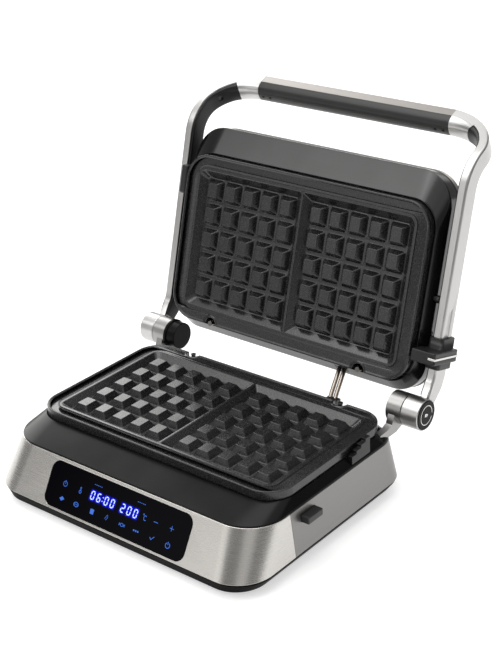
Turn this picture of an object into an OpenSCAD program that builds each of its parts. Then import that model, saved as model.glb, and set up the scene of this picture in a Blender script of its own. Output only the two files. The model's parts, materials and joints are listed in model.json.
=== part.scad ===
// Contact-grill waffle maker: base and lid each carry a removable waffle plate,
// and the lid hangs in a pair of arms that turn on two barrel hinges.

/* [Placing] */
// Place of the lower plate's centre along Y
plate_y = -54; // [-60:1:-48]
// Height of the lower plate's waffle tops above the table
plate_z = 73.5; // [72:0.5:78]
// Lid angle from closed, as it stands open
open_angle = 105.57; // [80:0.5:120]

/* [Plates] */
// Plate width
plate_w = 290; // [286:1:291]
// Plate depth
plate_d = 170; // [166:1:171]
// Corner radius of the plate
plate_r = 26; // [20:1:30]
// Waffle block pitch across
pitch_x = 23; // [21:0.5:23.5]
// Waffle block pitch from front to back
pitch_y = 25.3; // [23:0.1:25.5]
// Depth of the waffle pattern
block_h = 6.5; // [5:0.5:7]

/* [Hinge] */
// Distance of the hinge axis behind the plate's centre
hinge_dy = 105.8; // [105:0.1:110]
// Height of the hinge axis above the waffle tops
hinge_dz = 2.6; // [2.5:0.1:5]
// Radius of the hinge barrels
barrel_r = 15.2; // [14:0.1:16]
// Radius of the hinge shafts
shaft_r = 5; // [4:0.5:7]

/* [Arms] */
// Outer face of the arms
arm_x = 167.6; // [167:0.1:169]
// Outer end of the hinge barrels
barrel_x = 171.8; // [171:0.1:172]
// Thickness of an arm
arm_t = 9; // [8:0.2:10]
// Depth of an arm
arm_d = 19.6; // [18:0.2:20]
// Half length of the black grip
grip_half = 113.4; // [100:0.2:114]

/* [Hidden] */
$fn = 64;

hinge_y = plate_y + hinge_dy;
hinge_z = plate_z + hinge_dz;
arm_mid = 23.4;        // arm centre line behind the cooking plane
arm_in = arm_x - arm_t;
cover_t = 1.6;         // thickness of the plastic liners
seam_y = -74;          // joint of the front band and the side band
// Base outlines: half width, front, rear, front radius, rear radius
bezel_in = [145.9, -85.9, 85.9, 26.9, 26.9];
band_top = [152, -118.6, 93, 37.5, 27];
band_low = [157, -142.5, 100, 36, 27];
tray_low = [151, -139.5, 95, 31, 24];
bezel_in_z = -7.5;
band_top_z = -17.8;
band_low_z = -59.4;
tray_low_z = -70;
slope_angle = atan2(band_top_z - band_low_z, band_top[1] - band_low[1]);
// Lid outlines about the plate centre
lid_in = [145.9, -85.9, 85.9, 26.9, 26.9];
lid_edge = [152, -112.7, 96.6, 34, 30];
lid_side = [151, -111.5, 96.6, 33, 30];
lid_top = [148, -108.5, 94, 31, 27];
lid_in_b = 7.5;
lid_edge_b = 20;
cover_b = 36;
cover_edge_b = 42;
lid_top_b = 46;
pivot_a = 104;         // lid pivots, along the lid
pivot_b = 19;
notch_x = 91.5;
notch_r = 7;
lip_h = 1.1;           // plate's outer lip above the waffle tops
rack_y = 17.4;         // front end of the rack, from the plate's centre
button_y = -50.8;      // lower release button
button_a = 160.5;      // upper release button, along the lid
gland_x = -90;         // cord outlet in the rear wall
gland_z = -40;

// ---------- frames ----------
module on_base() translate([0, plate_y, plate_z]) children();
// Local frame of the closed lid turned open: x across, -y along the lid, z to its back
module on_lid() translate([0, hinge_y, hinge_z]) rotate([-open_angle, 0, 0]) children();
function lid_y(a, b) = hinge_y - a * cos(open_angle) + b * sin(open_angle);
function lid_z(a, b) = hinge_z + a * sin(open_angle) + b * cos(open_angle);
module on_lid_plate() on_lid() translate([0, -hinge_dy, 0]) children();
module on_panel() on_base() translate([0, band_top[1], band_top_z]) rotate([slope_angle, 0, 0]) children();
module along_x(x, len) translate([x, 0, 0]) rotate([90, 0, 90]) linear_extrude(len) children();
module both_sides() { children(); mirror([1, 0, 0]) children(); }

// ---------- outlines and solids made from them ----------
function arc(cx, cy, r, a0, n = 8) = [for (i = [0:n]) let (a = a0 + 90 * i / n) [cx + r * cos(a), cy + r * sin(a)]];
function outline(o, g = 0) = let (x = o[0] - g, f = o[1] + g, b = o[2] - g,
    rf = max(o[3] - g, 1), rb = max(o[4] - g, 1)) concat(
    arc(x - rb, b - rb, rb, 0), arc(rb - x, b - rb, rb, 90),
    arc(rf - x, f + rf, rf, 180), arc(x - rf, f + rf, rf, 270));
function box_outline(w, d, r) = outline([w / 2, -d / 2, d / 2, r, r]);
function ring_faces(n, k) = concat([[for (i = [0:n - 1]) i]],
    [for (j = [0:k - 2]) for (i = [0:n - 1]) each [
        [j * n + i, (j + 1) * n + (i + 1) % n, j * n + (i + 1) % n],
        [j * n + i, (j + 1) * n + i, (j + 1) * n + (i + 1) % n]]],
    [[for (i = [n - 1:-1:0]) (k - 1) * n + i]]);
// Closed solid through rings of equal length
module skin(rings) polyhedron([for (r = rings) each r], ring_faces(len(rings[0]), len(rings)), convexity = 10);
// Solid between outlines at rising heights
module loft(outs, zs) skin([for (i = [0:len(zs) - 1]) [for (p = outs[i]) [p[0], p[1], zs[i]]]]);
module plan(pts, z0, z1) translate([0, 0, z0]) linear_extrude(z1 - z0) polygon(pts);
module rrect(w, d, r) {
    square([w - 2 * r, d], center = true);
    square([w, d - 2 * r], center = true);
    for (x = [-1, 1], y = [-1, 1]) translate([x * (w / 2 - r), y * (d / 2 - r)]) circle(r);
}
module rbox(w, d, r, z0, z1) translate([0, 0, z0]) linear_extrude(z1 - z0) rrect(w, d, r);
module tube(r, hole, len) difference() {
    cylinder(r = r, h = len);
    translate([0, 0, -1]) cylinder(r = hole, h = len + 2);
}
module rod_x(x0, x1, r) translate([x0, 0, 0]) rotate([0, 90, 0]) cylinder(r = r, h = x1 - x0);
// Coil spring along Z
module coil(r, wire, len, turns) {
    n = turns * 10;
    skin([for (i = [0:n]) let (a = 36 * i, z = wire + (len - 2 * wire) * i / n)
        [for (k = [0:5]) let (q = -60 * k)
            [(r + wire * cos(q)) * cos(a), (r + wire * cos(q)) * sin(a), z + wire * sin(q)]]]);
}

// ---------- waffle plate, tops at z = 0 facing up ----------
module waffle_block(x, y) translate([x, y, 0])
    loft([box_outline_sharp(19.5, 21.5), box_outline_sharp(10.7, 13.4)], [-block_h - 0.3, 0]);
function box_outline_sharp(w, d) = [[w, d] / 2, [-w, d] / 2, [-w, -d] / 2, [w, -d] / 2];
module half_cavity() {
    x0 = 8.2;
    x1 = 121.5;
    d = 62.6;
    s = 6.6;
    low = [[x1, -d + 6], [x1, d - 6], [x1 - 6, d], [x0, d], [x0, -d], [x1 - 6, -d]];
    top = [[x1 + s, -d - s + 8], [x1 + s, d + s - 8], [x1 + s - 8, d + s],
        [x0 - s - 0.8, d + s], [x0 - s - 0.8, -d - s], [x1 + s - 8, -d - s]];
    loft([low, top], [-block_h, 0.7]);
}
module notch_arcs(r, z0, z1) for (x = [-1, 1]) translate([x * notch_x, plate_d / 2 - 0.5, z0])
    cylinder(r = r, h = z1 - z0);
module waffle_plate() {
    difference() {
        union() {
            rbox(plate_w, plate_d, plate_r, -9, lip_h);
            notch_arcs(notch_r + 0.9, -3, lip_h);
        }
        // Lowered rim inside the outer lip
        difference() {
            rbox(plate_w - 5, plate_d - 5, plate_r - 2.5, 0.3, 3);
            notch_arcs(notch_r + 2.5, 0, 4);
        }
        notch_arcs(notch_r, -10, 3);
        translate([0, plate_d / 2 + 5, -4]) cube([plate_w + 2, 10, 14], center = true);
        // Hollow under the rim, around the tub
        difference() {
            rbox(plate_w - 6, plate_d - 6, plate_r - 3, -10, -3);
            rbox(252, 134, 8, -11, 0);
            notch_arcs(notch_r + 2.5, -11, 0);
        }
        half_cavity();
        mirror([1, 0, 0]) half_cavity();
    }
    for (s = [-1, 1], i = [0:4], j = [-2:2]) waffle_block(s * (18.4 + i * pitch_x), j * pitch_y);
}
module lower_plate() color("#2b2b2d") on_base() waffle_plate();
module upper_plate() color("#2b2b2d") on_lid_plate() mirror([0, 0, 1]) waffle_plate();

// ---------- base ----------
module tray_body(g, z0) {
    loft([outline(tray_low, g), outline(band_low, g + 1)], [z0, band_low_z - 0.2]);
}
module base_tray() color("#161616") on_base() difference() {
    union() {
        difference() {
            tray_body(0, tray_low_z);
            translate([0, 0, 2.5]) tray_body(2.5, tray_low_z);
            plan(outline(band_low, 4), band_low_z - 3, band_low_z + 1);
        }
        difference() {
            plan(outline(band_low, 2.2), band_low_z - 2.5, band_low_z - 0.2);
            plan(outline(band_low, 9), band_low_z - 4, band_low_z + 1);
        }
        difference() {
            plan(outline(band_low, 7), band_low_z - 1.5, band_low_z + 6);
            plan(outline(band_low, 9), band_low_z - 4, band_low_z + 7);
        }
        for (x = [-1, 1], y = [-100, 60]) translate([x * 118, y, tray_low_z]) cylinder(r = 11, h = 6);
    }
    for (x = [-1, 1], y = [-100, 60]) translate([x * 118, y, tray_low_z - 1]) cylinder(r = 8, h = 3);
    for (x = [-1, 1], y = [-80, 40]) translate([x * 90, y, tray_low_z - 1]) cylinder(r = 1.6, h = 5);
    for (i = [-6:6]) translate([i * 9, -20, tray_low_z]) cube([3, 60, 8], center = true);
}
module rubber_feet() color("#222") on_base() for (x = [-1, 1], y = [-100, 60])
    translate([x * 118, y, -plate_z]) cylinder(r = 7.9, h = plate_z + tray_low_z + 2);
module base_screws() color("#999") on_base() for (x = [-1, 1], y = [-80, 40])
    translate([x * 90, y, tray_low_z]) {
        translate([0, 0, -0.9]) cylinder(r = 3, h = 0.9);
        cylinder(r = 1.5, h = 12);
    }
module band_shell() difference() {
    loft([outline(band_low), outline(band_top)], [band_low_z, band_top_z]);
    loft([outline(band_low, 1.2), outline(band_top, 1.2)], [band_low_z - 0.1, band_top_z + 0.1]);
}
module front_band() color("#b9b4ae") difference() {
    on_base() intersection() {
        band_shell();
        translate([-200, -200, -80]) cube([400, 200 + seam_y - 0.15, 100]);
    }
    on_panel() translate([0, -24.4, -6]) linear_extrude(12) rrect(170.6, 42.6, 9.3);
}
module side_band() color("#a8a39e") on_base() difference() {
    intersection() {
        band_shell();
        translate([-200, seam_y + 0.15, -80]) cube([400, 300, 100]);
    }
    translate([140, button_y - 10.8, -32.4]) cube([30, 21.6, 7.8]);
    translate([gland_x, 105, gland_z]) rotate([90, 0, 0]) cylinder(r = 7, h = 24);
}
module top_bezel() color("#101010") on_base() difference() {
    union() {
        loft([outline(band_top), outline(band_top), outline(bezel_in)],
            [band_top_z + 0.1, band_top_z + 1, bezel_in_z]);
        // Skirt that sits inside the steel bands
        plan(outline(band_top, 1.6), band_top_z - 7.2, band_top_z + 0.4);
    }
    plan(outline(band_top, 3.6), band_top_z - 8, band_top_z - 3);
    translate([0, 0, -2.5]) loft([outline(band_top, 3.6), outline(band_top, 3.6), outline(bezel_in, -1)],
        [band_top_z - 1, band_top_z + 1, bezel_in_z + 0.4]);
    plan(outline(bezel_in), -30, 0);
    translate([146.3, rack_y - 0.3, -14.4]) cube([5.8, 28.6, 30]);
    bracket_pockets(0.3);
    translate([74, 92, -8.8]) cube([15, 16, 24], center = true);
}
// Steps that the clip lands on when it has been slid forward
module height_rack() color("#6f6c68") on_base() for (i = [0:3])
    translate([146.6, rack_y + 7 * i, -14.2]) cube([4.9, i < 3 ? 7.01 : 7, 8 + 3 * i]);
module control_glass() color("#050508") on_panel() translate([0, -24.4, -2.2])
    linear_extrude(2.6) rrect(170, 42, 9);
module led_display() color("#1a3cff") on_panel() translate([0, -21, -6.4])
    linear_extrude(4) square([78, 16], center = true);
module display_board() color("#0a5a2a") on_panel() translate([0, -23.4, -8.2])
    linear_extrude(1.6) square([160, 30], center = true);
module power_board() color("#0a5a2a") on_base() {
    translate([-100, -60, -58]) cube([90, 80, 1.6]);
    translate([-92, -50, -56.5]) cube([18, 15, 16]);
    translate([-60, -50, -56.5]) cube([28, 22, 18]);
    translate([-30, 0, -56.5]) cylinder(r = 6, h = 18);
}
module reflector(w, d, depth) difference() {
    rbox(w, d, 14, -depth, 0);
    translate([0, 0, 1]) rbox(w - 2, d - 2, 13, -depth, 1);
}
module lower_reflector() color("#c8c8c8") on_base() translate([0, 0, -15]) reflector(262, 150, 16);
// Bent tube heater: two long legs, two end bows and a pair of terminals
module heater() {
    for (y = [-1, 1]) translate([0, y * 42, 0]) rod_x(-80, 80, 3.2);
    translate([80, 0, 0]) rotate([0, 0, -90]) rotate_extrude(angle = 180) translate([42, 0]) circle(3.2);
    for (s = [0, 1]) mirror([0, s, 0]) translate([-80, 0, 0]) rotate([0, 0, 90])
        rotate_extrude(angle = 65) translate([42, 0]) circle(3.2);
}
module lower_heater() color("#6d6d6d") on_base() translate([0, 0, -18.5]) heater();
module lower_thermostat() color("#d8d2c0") on_base() translate([0, 0, -29.7]) {
    cylinder(r = 9, h = 6);
    translate([-12, -3, 0]) cube([24, 6, 1.2]);
}
module plate_pin() {
    translate([0, 0, -10.2]) cylinder(r = 2.2, h = 10.3);
    translate([0, 0, 0.1]) cylinder(r = 2.6, h = 0.8);
    translate([-4, -1, -10.2]) cube([8, 3.28, 1.8]);
}
module lower_plate_pins() color("#d9cfc0") on_base() for (x = [-1, 1])
    translate([x * notch_x, plate_d / 2 - 1.4, 0]) plate_pin();
// Side profile of the cast bracket, in y and z about the hinge axis
module bracket_profile() polygon([[-13, 4], [-19, -9.5], [-26, -11.9], [-38, -12.4], [-38, -24], [-31, -24],
    [-31, -19.8], [-12, -19.8], [2, -15], [0, 0]]);
module bracket(x0, x1) on_base() translate([0, hinge_dy, hinge_dz]) difference() {
    union() {
        rod_x(x0, x1, barrel_r);
        along_x(140.5, 7) bracket_profile();
        along_x(140.5, 6) translate([-38, -44]) square([7, 24]);
    }
    rod_x(x0 - 1, x1 + 1, shaft_r);
}
// Room for the brackets in the bezel and, for their legs only, in its skirt
module bracket_pockets(g) both_sides() translate([0, hinge_dy, hinge_dz]) along_x(140.5 - g, 7 + 2 * g) {
    translate([-38 - g, -24 - g]) square([60, 40]);
    translate([-38 - g, -46]) square([7 + 2 * g, 30]);
}
module hinge_bracket_right() color("#cfcdca") bracket(137.5, 152.85);
module hinge_bracket_left() color("#cfcdca") mirror([1, 0, 0]) bracket(139.4, 154.35);
module hinge_shaft_right() color("#8f8f8f") translate([0, hinge_y, hinge_z]) rod_x(139.5, 160, shaft_r);
module hinge_shaft_left() color("#8f8f8f") translate([0, hinge_y, hinge_z]) rod_x(-166, -139.6, shaft_r);
module pivot_cap_left() color("#141414") translate([0, hinge_y, hinge_z]) {
    rod_x(-139.3, -136.3, barrel_r + 0.1);
    rod_x(-136.3, -126, 13.9);
}
module cord_gland() color("#1c1c1c") on_base() translate([gland_x, 100.2, gland_z]) rotate([90, 0, 0]) {
    tube(6.9, 3.6, 14);
    translate([0, 0, 7.4]) tube(9, 3.6, 2);
}
// Path of a conduit in y and z: a cubic that runs on straight past both ends
function conduit_yz(t) = let (
    a = [plate_y + 93.5, plate_z - 12],
    d = [lid_y(16.2, 13), lid_z(16.2, 13)],
    b = a + [3, 5.2],
    c = d - [8.5, 7.9])
    t < 0 ? a + 3 * t * (b - a) : t > 1 ? d + 3 * (t - 1) * (d - c) :
    pow(1 - t, 3) * a + 3 * t * pow(1 - t, 2) * b + 3 * t * t * (1 - t) * c + pow(t, 3) * d;
module conduit(s, r, t0 = 0, t1 = 1) skin([for (i = [0:14]) let (t = t0 + (t1 - t0) * i / 14,
    p = conduit_yz(t), d = conduit_yz(t + 0.01) - conduit_yz(t - 0.01), n = d / norm(d))
    [for (k = [0:11]) let (q = 30 * k)
        [74 - 8 * t + s * 2.8 + r * cos(q), p[0] + r * sin(q) * n[1], p[1] - r * sin(q) * n[0]]]]);
module conduit_grommet() color("#151515") difference() {
    on_base() translate([67.5, 87, -16]) cube([13, 12, 11]);
    for (s = [-1, 1]) conduit(s, 2.5, -0.25, 0.6);
}
module wire_conduit() color("#c9c5be") for (s = [-1, 1]) conduit(s, 2.2);

// ---------- arms ----------
rise = 27;             // angle at which an arm leaves its barrel
rise_a = 22.6;         // where it starts to level out
arc_r = 30;
bend_at = 206.3;
bend_r = 37.6;
bend = 52;             // backward bend towards the handle
corner_x = 59;         // the handle's corner: a quarter ellipse, this far across
corner_z = 48;         // and this far out
bar_w = 20.5;
bar_d = 21.6;
rail_w = 11;           // metal part of the bar, from its outer face
rise_b = arm_mid - arc_r * (1 - cos(rise));
// Stations along an arm: [along, back, tilt, depth]
function arm_station(k) =
    k == 0 ? [-4, 7, rise, 12] :
    k <= 5 ? let (t = rise * (5 - k) / 4)
        [rise_a + arc_r * (sin(rise) - sin(t)), rise_b + arc_r * (cos(t) - cos(rise)), t, arm_d] :
    k == 6 ? [60, arm_mid, 0, arm_d] : k == 7 ? [120, arm_mid, 0, arm_d] : k == 8 ? [bend_at, arm_mid, 0, arm_d] :
    let (t = bend * (k - 8) / 6) [bend_at + bend_r * sin(t), arm_mid + bend_r * (1 - cos(t)), t, arm_d];
function smooth(t) = t * t * (3 - 2 * t);
// Thickness and depth of the handle's corner, i = 0 at the arm and 10 at the bar
function corner_w(turn) = arm_t + cover_t + (bar_w - arm_t - cover_t) * smooth(turn / 90);
function corner_d(turn) = arm_d + (bar_d - arm_d) * smooth(turn / 90);
// Rounded section, u across and v in depth; r rounds the outer corners and ri the inner ones
function section(u0, u1, v0, v1, r, ri) = let (n = 5)
    [for (c = [[1, 1, 0], [-1, 1, 90], [-1, -1, 180], [1, -1, 270]]) let (q = c[0] > 0 ? r : ri) for (i = [0:n])
        [(c[0] > 0 ? u1 - q : u0 + q) + q * cos(c[2] + 90 * i / n),
        (c[1] > 0 ? v1 - q : v0 + q) + q * sin(c[2] + 90 * i / n)]];
// A point of the right arm: u out from the outer face, v to the back
function arm_point(s, u, v) = [arm_x + u, -(s[0] - v * sin(s[2])), s[1] + v * cos(s[2])];
// The same round the handle's corner
function corner_point(turn, run, u, v) = let (
    a0 = bend_at + bend_r * sin(bend), b0 = arm_mid + bend_r * (1 - cos(bend)),
    reach = (corner_z + u) * sin(turn),
    x = arm_x - corner_x + (corner_x + u) * cos(turn) - run)
    [x, -(a0 + reach * cos(bend) - v * sin(bend)), b0 + reach * sin(bend) + v * cos(bend)];
bar_section = section(-bar_w, 0, -bar_d / 2, bar_d / 2, 3, 9);
cover_end = 50;        // where the liner ends round the corner
// Rings of the arm's metal: thin along the liner, then as thick as the bar
arm_rings = concat(
    [for (k = [0:14]) let (s = arm_station(k))
        [for (p = section(-arm_t, 0, -s[3] / 2, s[3] / 2, 2.6, 0.6)) arm_point(s, p[0], p[1])]],
    [for (turn = [10:10:cover_end]) let (d = corner_d(turn))
        [for (p = section(-arm_t, 0, -d / 2, d / 2, 2.6, 0.6)) corner_point(turn, 0, p[0], p[1])]],
    [for (turn = [cover_end + 0.4, 60, 70, 80]) let (w = corner_w(turn), d = corner_d(turn))
        [for (p = section(-w, 0, -d / 2, d / 2, 3, min(9, w - 6))) corner_point(turn, 0, p[0], p[1])]],
    [[for (p = bar_section) corner_point(90, arm_x - corner_x - grip_half - 0.1, p[0], p[1])]]);
module arm_right() color("#e2e0dd") on_lid() difference() {
    union() {
        skin(arm_rings);
        rod_x(153.15, barrel_x, barrel_r);
    }
    rod_x(150, 165, shaft_r + 0.05);
    rod_x(164.5, 180, barrel_r - 0.9);
    // Slot that guides the clip
    translate([arm_x - 3, -97, arm_mid + 0.2]) cube([6, 44, 1.6]);
    translate([0, -pivot_a, pivot_b]) rod_x(150, 165, 2.5);
}
module arm_left() color("#e2e0dd") on_lid() mirror([1, 0, 0]) difference() {
    union() {
        skin(arm_rings);
        rod_x(154.65, barrel_x, barrel_r);
    }
    rod_x(150, 167, shaft_r + 0.05);
    translate([0, -pivot_a, pivot_b]) rod_x(150, 165, 2.5);
}
// Frame along the handle bar: x across, y out from the hinge, z to its back
module on_bar() on_lid() translate([0, corner_point(90, 0, 0, 0)[1], corner_point(90, 0, 0, 0)[2]])
    rotate([180 - bend, 0, 0]) mirror([0, 0, 1]) children();
module bar_half(outer) along_x(-grip_half, 2 * grip_half) intersection() {
    polygon(bar_section);
    translate([outer ? -rail_w : -rail_w - 20.1, -20]) square([20, 40]);
}
module grip_rail() color("#e2e0dd") on_bar() bar_half(true);
module handle_grip() color("#1b1b1b") on_bar() difference() {
    bar_half(false);
    for (x = [-1, 1], d = [6, 15]) translate([x * (grip_half - d), -bar_w - 1, 0.5]) rotate([-90, 0, 0])
        cylinder(r = 1.9, h = 3);
}
module grip_screws() color("#555") on_bar() for (x = [-1, 1], d = [6, 15])
    translate([x * (grip_half - d), -bar_w + 0.6, 0.5]) rotate([-90, 0, 0]) cylinder(r = 1.8, h = 1.2);
// Plastic liner on the inside of an arm, from the barrel to the handle's corner
cover_rings = let (a = arm_station(0), b = arm_station(1)) concat(
    [[for (p = section(-arm_t - cover_t, -arm_t - 0.02, -6, 7.4, 0.3, 1.2))
        arm_point(a * 0.4 + b * 0.6, p[0], p[1])]],
    [for (k = [1:14])
        [for (p = section(-arm_t - cover_t, -arm_t - 0.02, 2 - arm_d / 2, arm_d / 2 - 0.3, 0.3, 1.2))
            arm_point(arm_station(k), p[0], p[1])]],
    [for (turn = [10, 20, 30, 40, cover_end - 0.3]) let (w = corner_w(turn), d = corner_d(turn) / 2)
        let (ri = min(1.2 + turn / 15, w - arm_t - 0.5))
        [for (p = section(-w, -arm_t - 0.1, 2 - turn / 50 - d, d - 0.3, 0.3, ri)) corner_point(turn, 0, p[0], p[1])]]);
screw_turn = 20;       // place of the liner's screw round the corner
cover_screw = corner_point(screw_turn, 0, -arm_t, 0);
module at_cover_screw() translate(cover_screw) rotate([-bend, 0, 0]) rotate([0, 0, -screw_turn]) children();
module arm_cover() on_lid() difference() {
    skin(cover_rings);
    at_cover_screw() rod_x(-9, 0.9, 2.2);
    translate([0, -pivot_a, pivot_b]) rod_x(150, arm_in + 1, 2.6);
}
module arm_cover_right() color("#141414") arm_cover();
module arm_cover_left() color("#141414") mirror([1, 0, 0]) arm_cover();
module cover_screws() color("#777") on_lid() both_sides() at_cover_screw() rod_x(-2, -0.85, 2.1);
module lid_pivot_right() color("#b5b2ad") on_lid() translate([0, -pivot_a, pivot_b]) {
    rod_x(147, 164.9, 2.5);
    rod_x(152.9, arm_in - cover_t - 0.05, 3.7);
}
module lid_pivot_left() color("#b5b2ad") mirror([1, 0, 0]) lid_pivot_right();

// ---------- lid ----------
module lid_frame() color("#0f0f10") on_lid_plate() difference() {
    loft([outline(lid_in), outline(lid_edge), outline(lid_side)], [lid_in_b, lid_edge_b, cover_b]);
    loft([outline(lid_in, -1), outline(lid_edge, 2.5), outline(lid_side, 2.5)],
        [lid_in_b + 1.8, lid_edge_b + 1.6, cover_b + 1]);
    plan(outline(lid_in), 0, 30);
    translate([-158, hinge_dy - button_a - 15.3, 2.8]) cube([13, 30.6, 8.4]);
    translate([0, hinge_dy - pivot_a, pivot_b]) both_sides() rod_x(140, 160, 2.55);
    translate([66, 91.6, 12.3]) cube([15, 9.2, 6.6], center = true);
}
module lid_cover() color("#a39a92") on_lid_plate() difference() {
    loft([outline(lid_side, -0.6), outline(lid_side, -0.6), outline(lid_top)],
        [cover_b + 0.1, cover_edge_b, lid_top_b]);
    loft([outline(lid_side, 0.6), outline(lid_side, 0.6), outline(lid_top, 1)],
        [cover_b, cover_edge_b - 0.8, lid_top_b - 1.2]);
}
module upper_reflector() color("#c8c8c8") on_lid_plate() translate([0, 0, 15])
    mirror([0, 0, 1]) reflector(262, 150, 12);
module upper_heater() color("#6d6d6d") on_lid_plate() translate([0, 0, 18.5]) heater();
module upper_thermostat() color("#d8d2c0") on_lid_plate() translate([0, 0, 27.6]) {
    cylinder(r = 9, h = 6);
    translate([-12, -3, 4.8]) cube([24, 6, 1.2]);
}
module upper_plate_pins() color("#d9cfc0") on_lid_plate() for (x = [-1, 1])
    translate([x * notch_x, plate_d / 2 - 1.4, 0]) mirror([0, 0, 1]) plate_pin();
module lid_grommet() color("#151515") difference() {
    on_lid_plate() intersection() {
        translate([58.7, 87.2, 9.2]) cube([14.6, 8.8, 6.2]);
        loft([outline(lid_in, -0.6), outline(lid_edge, -0.6)], [lid_in_b, lid_edge_b]);
    }
    for (s = [-1, 1]) conduit(s, 2.4, 0.5, 1.3);
}

// ---------- height clip ----------
module height_clip() color("#1a1a1b") on_lid() difference() {
    union() {
        translate([arm_in - cover_t - 1.9, -74, arm_mid - arm_d / 2 - 2]) cube([15.5, 29, arm_d + 4]);
        translate([149.5, -59.5, -7]) cube([25.6, 11.5, 18]);
        translate([152.8, -59.5, -7]) cube([22.3, 11.5, 42]);
    }
    translate([arm_in - cover_t - 0.3, -80, arm_mid - arm_d / 2 - 0.3])
        cube([arm_t + cover_t + 0.6, 40, arm_d + 0.6]);
    translate([173.6, -54.9, -8]) cube([3, 2.4, 44]);
    translate([168, -54.9, -8]) cube([8, 2.4, 1.8]);
}
module clip_trim() color("#d5d3d0") on_lid() {
    translate([173.62, -54.8, -6.2]) cube([1.9, 2.2, 41.2]);
    translate([168.1, -54.8, -7.4]) cube([7.42, 2.2, 1.18]);
}
module clip_pin() color("#8f8f8f") on_lid() translate([0, -60, arm_mid + 1]) rod_x(arm_x - 2.4, arm_x + 0.3, 0.7);

// ---------- release buttons ----------
module lower_button() color("#161616") on_base() translate([0, button_y, -28.5])
    translate([151, -10.3, -3.5]) cube([10.6, 20.6, 7]);
module lower_latch() color("#b8b5b0") on_base() translate([0, button_y, -28.5]) {
    translate([139, -6, -0.8]) cube([12, 12, 1.6]);
    translate([139, -6, -0.8]) cube([1.6, 12, 18.6]);
}
module lower_button_spring() color("#999") on_base() translate([132.2, button_y, -28.5])
    rotate([0, 90, 0]) coil(3, 0.5, 6.6, 5);
module upper_button() color("#161616") on_lid() translate([-157.5, -button_a - 15, 3]) cube([8.9, 30, 8]);
module upper_latch() color("#b8b5b0") on_lid() translate([-148.6, -button_a - 6, 9.4]) cube([6.6, 12, 1.5]);
module upper_button_spring() color("#999") on_lid() translate([-141.8, -button_a, 10.2])
    rotate([0, 90, 0]) coil(3, 0.5, 6.6, 5);
module release_disc() color("#0e0e0e") on_lid() rod_x(169.4, 172.6, barrel_r - 1);
module release_stem() color("#8f8f8f") on_lid() rod_x(165.4, 169.35, 4);
module release_spring() color("#999") on_lid() translate([164.6, 0, 0]) rotate([0, 90, 0]) coil(7, 0.5, 4.7, 3);

base_tray();
rubber_feet();
base_screws();
front_band();
side_band();
top_bezel();
control_glass();
led_display();
display_board();
power_board();
lower_reflector();
lower_heater();
lower_thermostat();
lower_plate_pins();
height_rack();
hinge_bracket_left();
hinge_bracket_right();
hinge_shaft_left();
hinge_shaft_right();
pivot_cap_left();
cord_gland();
conduit_grommet();
wire_conduit();
arm_left();
arm_right();
grip_rail();
handle_grip();
grip_screws();
arm_cover_left();
arm_cover_right();
cover_screws();
lid_pivot_left();
lid_pivot_right();
lid_frame();
lid_cover();
upper_reflector();
upper_heater();
upper_thermostat();
upper_plate_pins();
lid_grommet();
lower_plate();
upper_plate();
height_clip();
clip_trim();
clip_pin();
lower_button();
lower_latch();
lower_button_spring();
upper_button();
upper_latch();
upper_button_spring();
release_disc();
release_stem();
release_spring();
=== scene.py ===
import math
import json
import bpy
import bmesh
from mathutils import Vector, Matrix
from mathutils.geometry import tessellate_polygon


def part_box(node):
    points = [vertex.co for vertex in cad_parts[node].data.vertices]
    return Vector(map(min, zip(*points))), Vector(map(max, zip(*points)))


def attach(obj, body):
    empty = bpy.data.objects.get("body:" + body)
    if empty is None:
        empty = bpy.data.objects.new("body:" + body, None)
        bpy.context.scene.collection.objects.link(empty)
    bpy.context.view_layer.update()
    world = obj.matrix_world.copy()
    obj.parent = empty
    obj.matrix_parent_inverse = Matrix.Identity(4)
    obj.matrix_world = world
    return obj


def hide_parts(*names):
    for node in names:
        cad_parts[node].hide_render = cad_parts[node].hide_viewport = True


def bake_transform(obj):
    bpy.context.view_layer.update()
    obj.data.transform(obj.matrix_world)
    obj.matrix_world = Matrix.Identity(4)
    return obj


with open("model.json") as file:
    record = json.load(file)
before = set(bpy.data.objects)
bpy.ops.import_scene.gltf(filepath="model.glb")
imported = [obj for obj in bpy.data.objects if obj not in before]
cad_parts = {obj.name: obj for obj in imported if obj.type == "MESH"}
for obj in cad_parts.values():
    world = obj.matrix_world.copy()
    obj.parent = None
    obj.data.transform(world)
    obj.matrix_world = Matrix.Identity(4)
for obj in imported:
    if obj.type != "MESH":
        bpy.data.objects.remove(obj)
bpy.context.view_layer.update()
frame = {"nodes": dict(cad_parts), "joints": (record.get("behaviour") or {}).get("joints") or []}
scene = bpy.context.scene
NODES = frame["nodes"]

# ---------------------------------------------------------------- frames, from the CAD
plate_lo, plate_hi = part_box("lower_plate")
LIP = 1.1
PLATE = Vector((0, (plate_lo.y + plate_hi.y) / 2, plate_hi.z - LIP * 0.001))
shaft_lo, shaft_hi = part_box("hinge_shaft_right")
HINGE = Vector((0, (shaft_lo.y + shaft_hi.y) / 2, (shaft_lo.z + shaft_hi.z) / 2))
OPEN = -[j for j in frame["joints"] if j["name"] == "lid_hinge"][0]["range_deg"][0]
HINGE_DY = (HINGE.y - PLATE.y) * 1000
MM = Matrix.Scale(0.001, 4)
BASE = Matrix.Translation(PLATE) @ MM
LID = Matrix.Translation(HINGE) @ Matrix.Rotation(math.radians(-OPEN), 4, "X") @ MM
LIDP = LID @ Matrix.Translation((0, -HINGE_DY, 0))

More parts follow.
